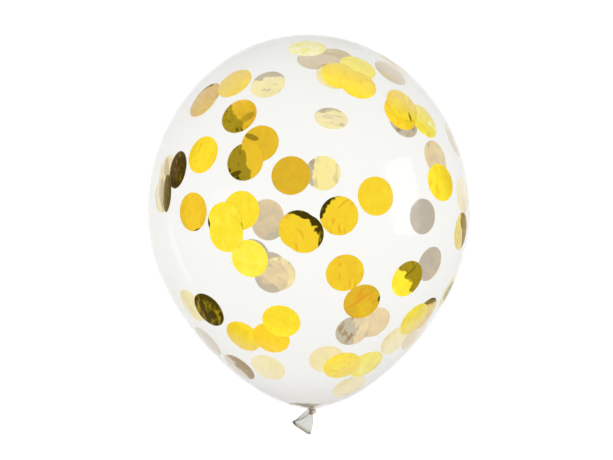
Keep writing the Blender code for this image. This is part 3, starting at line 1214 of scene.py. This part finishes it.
def painted_dark_reflection(finish, place, clouds, dark, darker):
    """The streaky colour of a painted dark reflection, and where on the disc it is painted."""
    streaks = finish.cloud(place, 2.2, 2.5, stretch=(1.8, 0.9, 9.0))
    murky = finish.rise(streaks + (finish.number("foil_murk") - 0.5) * 0.5, 0.43, 0.60)
    towards = finish.parts(place)[0]
    border = towards + (clouds - 0.5) * 1.2 + finish.number("foil_dark") * 2.3 - 1.3
    return finish.mix(murky, dark, darker), finish.rise(border, -0.03, 0.05)


def painted_fold_shade(finish, clouds):
    """Where the one fold painted with dark shade shows, with a ragged edge."""
    along, beside, strength = finish.parts(finish.kept_place("foil_mark"))
    from_mark = along * along + beside * beside + (clouds - 0.5)
    return (1 - finish.rise(from_mark, 0.7, 1.1)) * strength


def veil_of_skin(finish):
    height = finish.parts(finish.place())[1]
    ends = finish.rise(height, *CROWN_VEIL) + finish.rise(height, *NECK_VEIL)
    return finish.rise(finish.slant() + ends * 0.2, 0.44, 0.72)


def foil(name, tones, crease, dark, darker, metallic, roughness, edge_tint):
    finish = Finish(name)
    place = finish.kept_place("foil_place")
    clouds = finish.cloud(place, 1.6)
    fold_shaded = fold_shaded_foil(finish, place, clouds, tones, crease)
    deep, painted_reflection_share = painted_dark_reflection(finish, place, clouds, dark, darker)
    fold_shade_share = painted_fold_shade(finish, clouds)
    # the painted dark reflection is laid over the foil's own colour
    shaded = finish.mix(painted_reflection_share, fold_shaded, deep)
    finish.set(
        # a single fold is painted with the darker colour as shade
        Base_Color=finish.mix(fold_shade_share, shaded, darker),
        Metallic=metallic,
        Roughness=roughness + (clouds - 0.5) * 0.2,
        Specular_Tint=edge_tint,
        Coat_Weight=veil_of_skin(finish) * (1 - painted_reflection_share * 0.95) * (1 - fold_shade_share),
        Coat_Roughness=0.05,
        Coat_IOR=2.2,
    )
    wrinkles = finish.cloud(place, 3.4, 4.0, stretch=(1.0, 1.0, 5.0))
    finish.bumps(wrinkles, 0.0012, 0.35)
    return finish.material


# %% Gold and pale foil
gold_foil = foil(
    "gold_foil",
    tones=[(0.0, (0.60, 0.37, 0.024)), (0.35, (0.775, 0.505, 0.026)), (0.5, (0.82, 0.56, 0.027)),
           (0.68, (0.845, 0.60, 0.028)), (0.80, (0.885, 0.695, 0.031)),
           (0.94, (0.93, 0.84, 0.095)), (1.0, (1.0, 0.98, 0.60))],
    # crease is painted shade in the folds
    crease=(0.70, 0.33, 0.020),
    # dark and darker colour the painted dark reflection
    dark=(0.325, 0.232, 0.012),
    darker=(0.050, 0.036, 0.002),
    metallic=1.0,
    roughness=0.28,
    edge_tint=(0.62, 0.50, 0.07),
)
pale_foil = foil(
    "pale_foil",
    tones=[(0.0, (0.465, 0.415, 0.35)), (0.35, (0.755, 0.60, 0.365)),
           (0.65, (0.87, 0.785, 0.43)), (1.0, (0.93, 0.82, 0.32))],
    # crease is painted shade in the folds
    crease=(0.56, 0.48, 0.35),
    # dark and darker colour the painted dark reflection
    dark=(0.52, 0.465, 0.355),
    darker=(0.36, 0.25, 0.13),
    metallic=0.7,
    roughness=0.35,
    edge_tint=(0.95, 0.90, 0.78),
)
for piece in near_pieces + far_pieces:
    piece.data.materials.append(gold_foil)
    piece.data.materials.append(pale_foil)
    piece.visible_shadow = False
    piece.visible_diffuse = False

# %% [markdown]
# The balloon was photographed on white with soft light. The floor here is plain and pale. A
# tent of five large panels lights all but the skin, and a dim glow with a bright horizon is
# all that the skin mirrors, so its gloss stays quiet. Two more lights are linked to the skin
# alone and draw the soft marks that show its gloss: a box on the right, and a thin strip on
# the floor at the left. No light is seen through the skin.

# %% Floor
FLOOR_REACH = 3.9  # just inside the tent's sides


def add_floor():
    mesh = bpy.data.meshes.new("floor")
    reach = FLOOR_REACH
    corners = [(-reach, -reach, 0), (reach, -reach, 0), (reach, reach, 0), (-reach, reach, 0)]
    mesh.from_pydata(corners, [], [(0, 1, 2, 3)])
    floor = add_object("floor", mesh)
    finish = Finish("pale_floor")
    finish.set(Base_Color=(0.93, 0.93, 0.93), Roughness=0.7, Specular_IOR_Level=0.2)
    mesh.materials.append(finish.material)


add_floor()

# %% Glow
GLOW_BASE = 0.2
GLOW_HORIZON = 0.8
GLOW_FADE = (0.02, 0.07)  # over this stretch above the horizon its light fades


def add_glow():
    """Dim light from all round, and bright at the horizon."""
    world = bpy.data.worlds.new("glow")
    world.use_nodes = True
    glow = Nodes(world.node_tree)
    upwards = glow.parts(glow.node("ShaderNodeTexCoord", {}, output="Generated"))[2]
    strength = GLOW_BASE + (1 - glow.rise(upwards, *GLOW_FADE)) * GLOW_HORIZON
    background = glow.tree.nodes["Background"]
    glow.feed(background.inputs["Color"], (1, 1, 1))
    glow.feed(background.inputs["Strength"], strength)
    bpy.context.scene.world = world


add_glow()

# %% Tent of panels
TENT_SIDE = 8.0
TENT_HEIGHT = 2.2
TENT_BRIGHTNESS = 1.04
SKIN_MIDDLE = Vector((0, 0, AXIS_HEIGHT))


def receivers(name, state):
    """A collection that says whether a light includes or leaves out the skin."""
    kept = bpy.data.collections.new(name)
    kept.objects.link(skin)
    for item in kept.collection_objects:
        item.light_linking.link_state = state
    return kept


def add_panel(name, place, target, size, brightness, lit):
    """A rectangular light that faces its target and isn't seen itself."""
    data = bpy.data.lights.new(name, "AREA")
    data.shape = "RECTANGLE"
    data.size, data.size_y = size
    data.energy = brightness * math.pi * size[0] * size[1]
    panel = add_object(name, data)
    panel.location = place
    panel.rotation_euler = (Vector(target) - Vector(place)).to_track_quat("-Z", "Y").to_euler()
    panel.visible_camera = False
    panel.visible_transmission = False
    panel.light_linking.receiver_collection = lit


def add_tent():
    side = TENT_SIDE
    all_but_skin = receivers("all_but_skin", "EXCLUDE")
    top = (0, 0, TENT_HEIGHT)
    add_panel("tent_top", top, (0, 0, 0), (side, side), TENT_BRIGHTNESS, all_but_skin)
    middle = Vector((0, 0, TENT_HEIGHT / 2))
    for number, (x, y) in enumerate(((1, 0), (0, 1), (-1, 0), (0, -1))):
        place = middle + Vector((x, y, 0)) * side / 2
        name = f"tent_side_{number + 1}"
        add_panel(name, place, middle, (side, TENT_HEIGHT), TENT_BRIGHTNESS, all_but_skin)


add_tent()

# %% Marks on the skin
BOX_PLACE = (1.15, 0.12, 0.62)
BOX_SIZE = (0.85, 0.5)
BOX_BRIGHTNESS = 60.0
STRIP_PLACE = (-0.62, -0.175, 0.005)
OVER_STRIP = (-0.62, -0.175, 1.0)
STRIP_SIZE = (0.06, 0.31)
STRIP_BRIGHTNESS = 18.0


def add_marks():
    """A box for the soft mark on the right, and a strip for the thin arc on the left."""
    skin_only = receivers("skin_only", "INCLUDE")
    add_panel("right_soft_box", BOX_PLACE, SKIN_MIDDLE, BOX_SIZE, BOX_BRIGHTNESS, skin_only)
    add_panel("left_strip", STRIP_PLACE, OVER_STRIP, STRIP_SIZE, STRIP_BRIGHTNESS, skin_only)


add_marks()

# %% [markdown]
# Last, every piece is tied to the CAD model. It has one body, root. Skin, knot, tail and rim
# stand for the one latex solid, and the confetti inside rides along.

# %% Tie the pieces to the model
for piece in (skin, knot, tail, rim):
    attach(piece, "root")
    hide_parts("latex_balloon")
for piece in near_pieces:
    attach(piece, "root")
for piece in far_pieces:
    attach(piece, "root")
